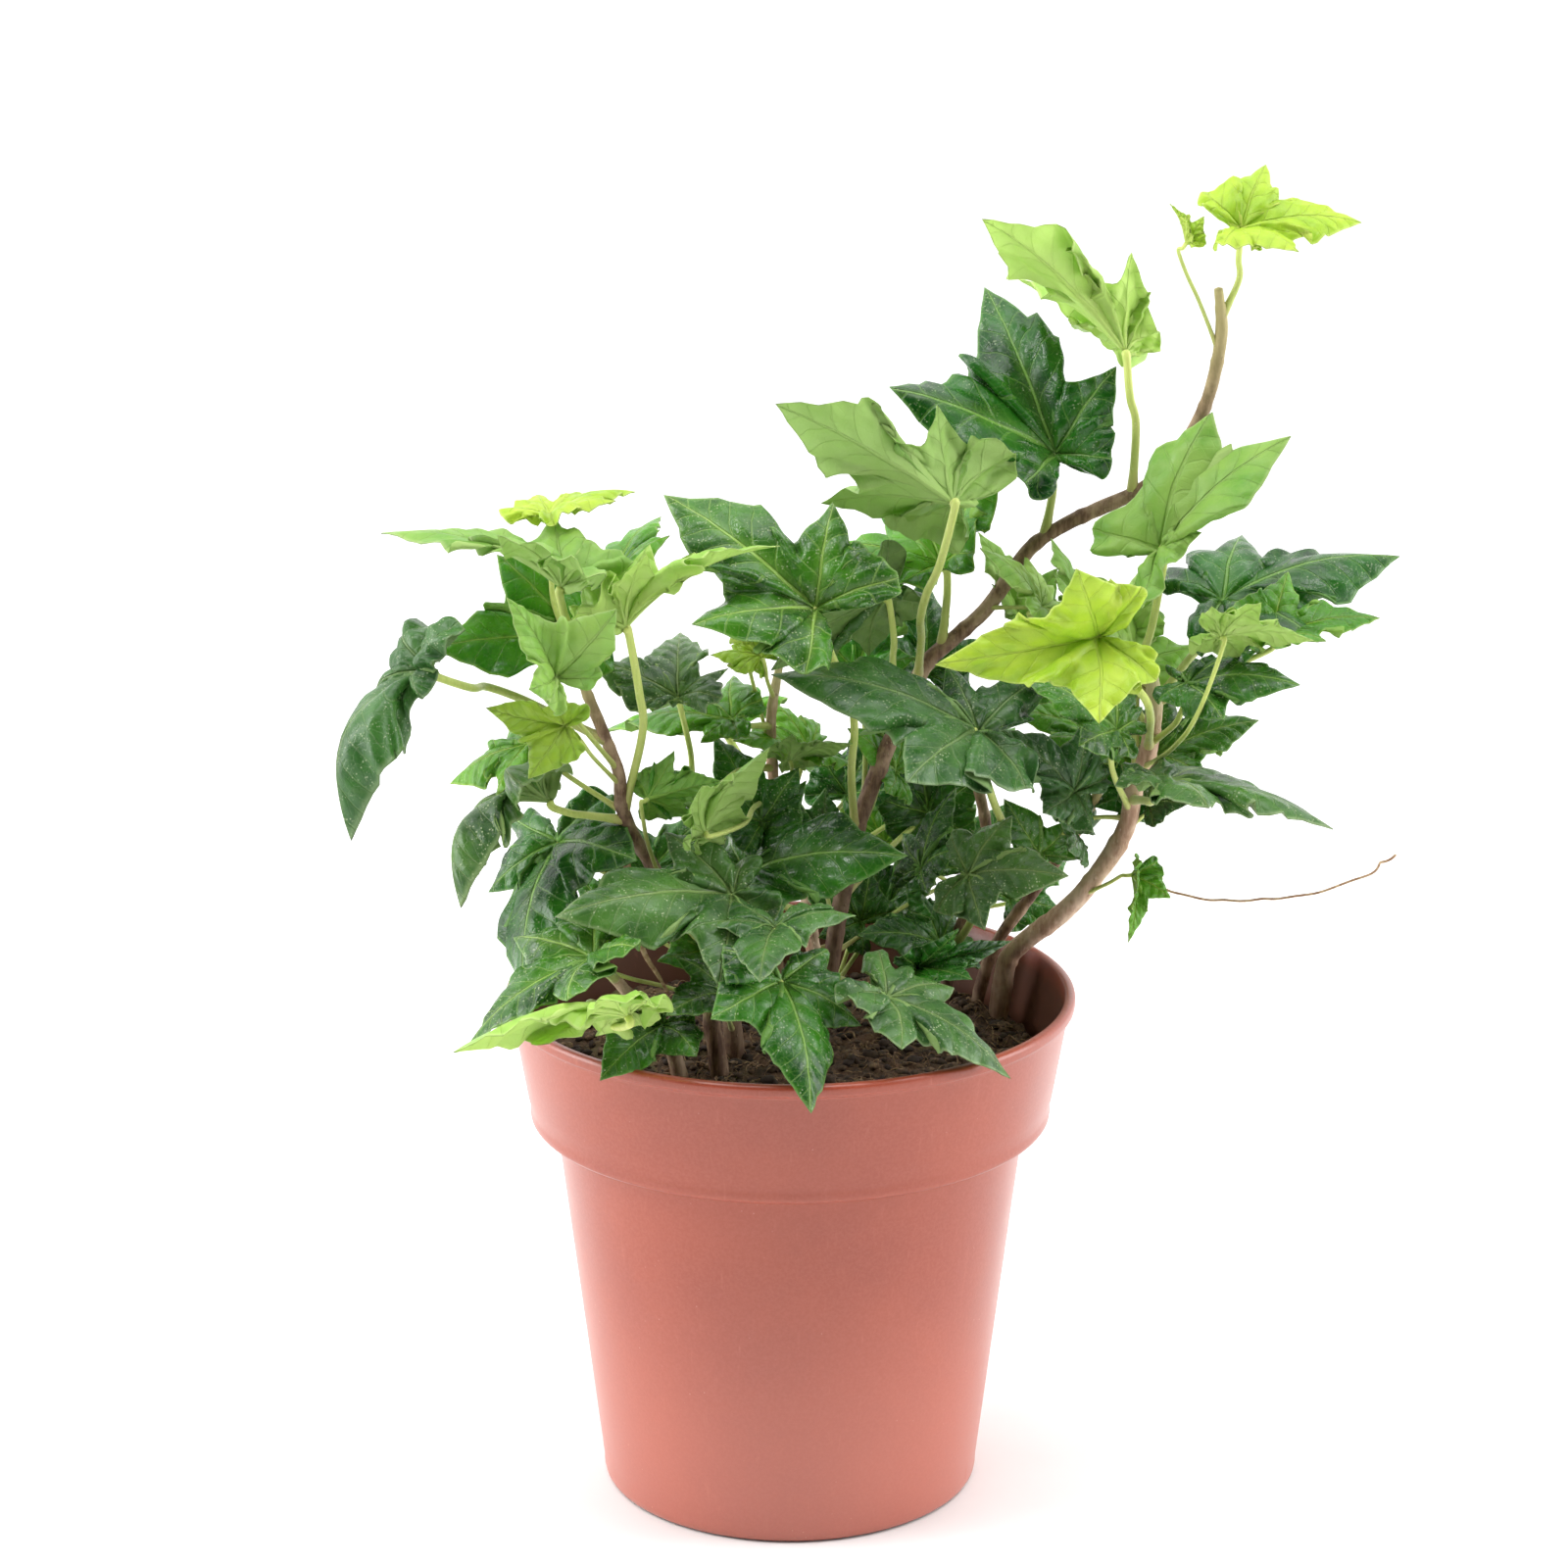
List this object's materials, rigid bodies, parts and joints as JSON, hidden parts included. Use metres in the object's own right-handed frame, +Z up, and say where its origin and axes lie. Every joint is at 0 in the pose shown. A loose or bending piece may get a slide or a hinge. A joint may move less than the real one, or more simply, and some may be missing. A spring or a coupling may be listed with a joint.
{
  "type": "potted ivy",
  "caption": "English ivy in a round tapered plastic nursery pot: soil, woody stems and lobed leaves on long stalks, free-standing decoration.",
  "frame": {"origin": "centre of the pot's underside, in the plane it stands on", "axes": "+Z up the pot's axis, -Y towards the side the plant is seen from, +X to that viewer's right"},
  "size_m": [0.2171, 0.1526, 0.2799],
  "materials": {
    "pot": "satin",
    "soil": "matt",
    "bark": "matt",
    "shoot": "matt",
    "root": "matt",
    "leaf_fresh": "satin",
    "leaf_young": "satin",
    "leaf_grown": "satin",
    "leaf_old": "glossy",
    "leaf_dusty": "satin"
  },
  "bodies": {
    "root": {"leaf_back_01": "leaf_dusty", "leaf_back_02": "leaf_old", "leaf_back_03": "leaf_old", "leaf_back_04": "leaf_dusty", "leaf_front_01": "leaf_old", "leaf_front_02": "leaf_young", "leaf_front_03": "leaf_old", "leaf_left_01": "leaf_young", "leaf_left_02": "leaf_grown", "leaf_left_03": "leaf_young", "leaf_left_04": "leaf_young", "leaf_left_05": "leaf_fresh", "leaf_left_06": "leaf_grown", "leaf_left_07": "leaf_dusty", "leaf_left_08": "leaf_fresh", "leaf_left_09": "leaf_grown", "leaf_left_10": "leaf_dusty", "leaf_left_11": "leaf_old", "leaf_left_12": "leaf_dusty", "leaf_main_01": "leaf_old", "leaf_main_02": "leaf_dusty", "leaf_main_03": "leaf_young", "leaf_main_04": "leaf_grown", "leaf_main_05": "leaf_old", "leaf_main_06": "leaf_young", "leaf_main_07": "leaf_fresh", "leaf_main_08": "leaf_dusty", "leaf_main_09": "leaf_young", "leaf_mid_01": "leaf_dusty", "leaf_mid_02": "leaf_fresh", "leaf_mid_03": "leaf_grown", "leaf_mid_04": "leaf_young", "leaf_mid_05": "leaf_old", "leaf_mid_06": "leaf_dusty", "leaf_mid_07": "leaf_old", "leaf_rear_01": "leaf_old", "leaf_rear_02": "leaf_grown", "leaf_rear_03": "leaf_old", "leaf_right_01": "leaf_young", "leaf_right_02": "leaf_old", "leaf_right_03": "leaf_young", "leaf_right_04": "leaf_old", "leaf_right_05": "leaf_dusty", "leaf_right_06": "leaf_fresh", "leaf_right_07": "leaf_young", "leaf_right_08": "leaf_old", "leaf_right_09": "leaf_dusty", "leaf_right_10": "leaf_grown", "pot": "pot", "root_right_trailing": "root", "soil": "soil", "stem_back_shoot": "bark", "stem_cut_stub": "bark", "stem_front_shoot": "shoot", "stem_left_vine": "bark", "stem_main_vine": "bark", "stem_middle_shoot": "shoot", "stem_rear_shoot": "shoot", "stem_right_twig": "bark", "stem_right_vine": "shoot"}
  },
  "joints": []
}
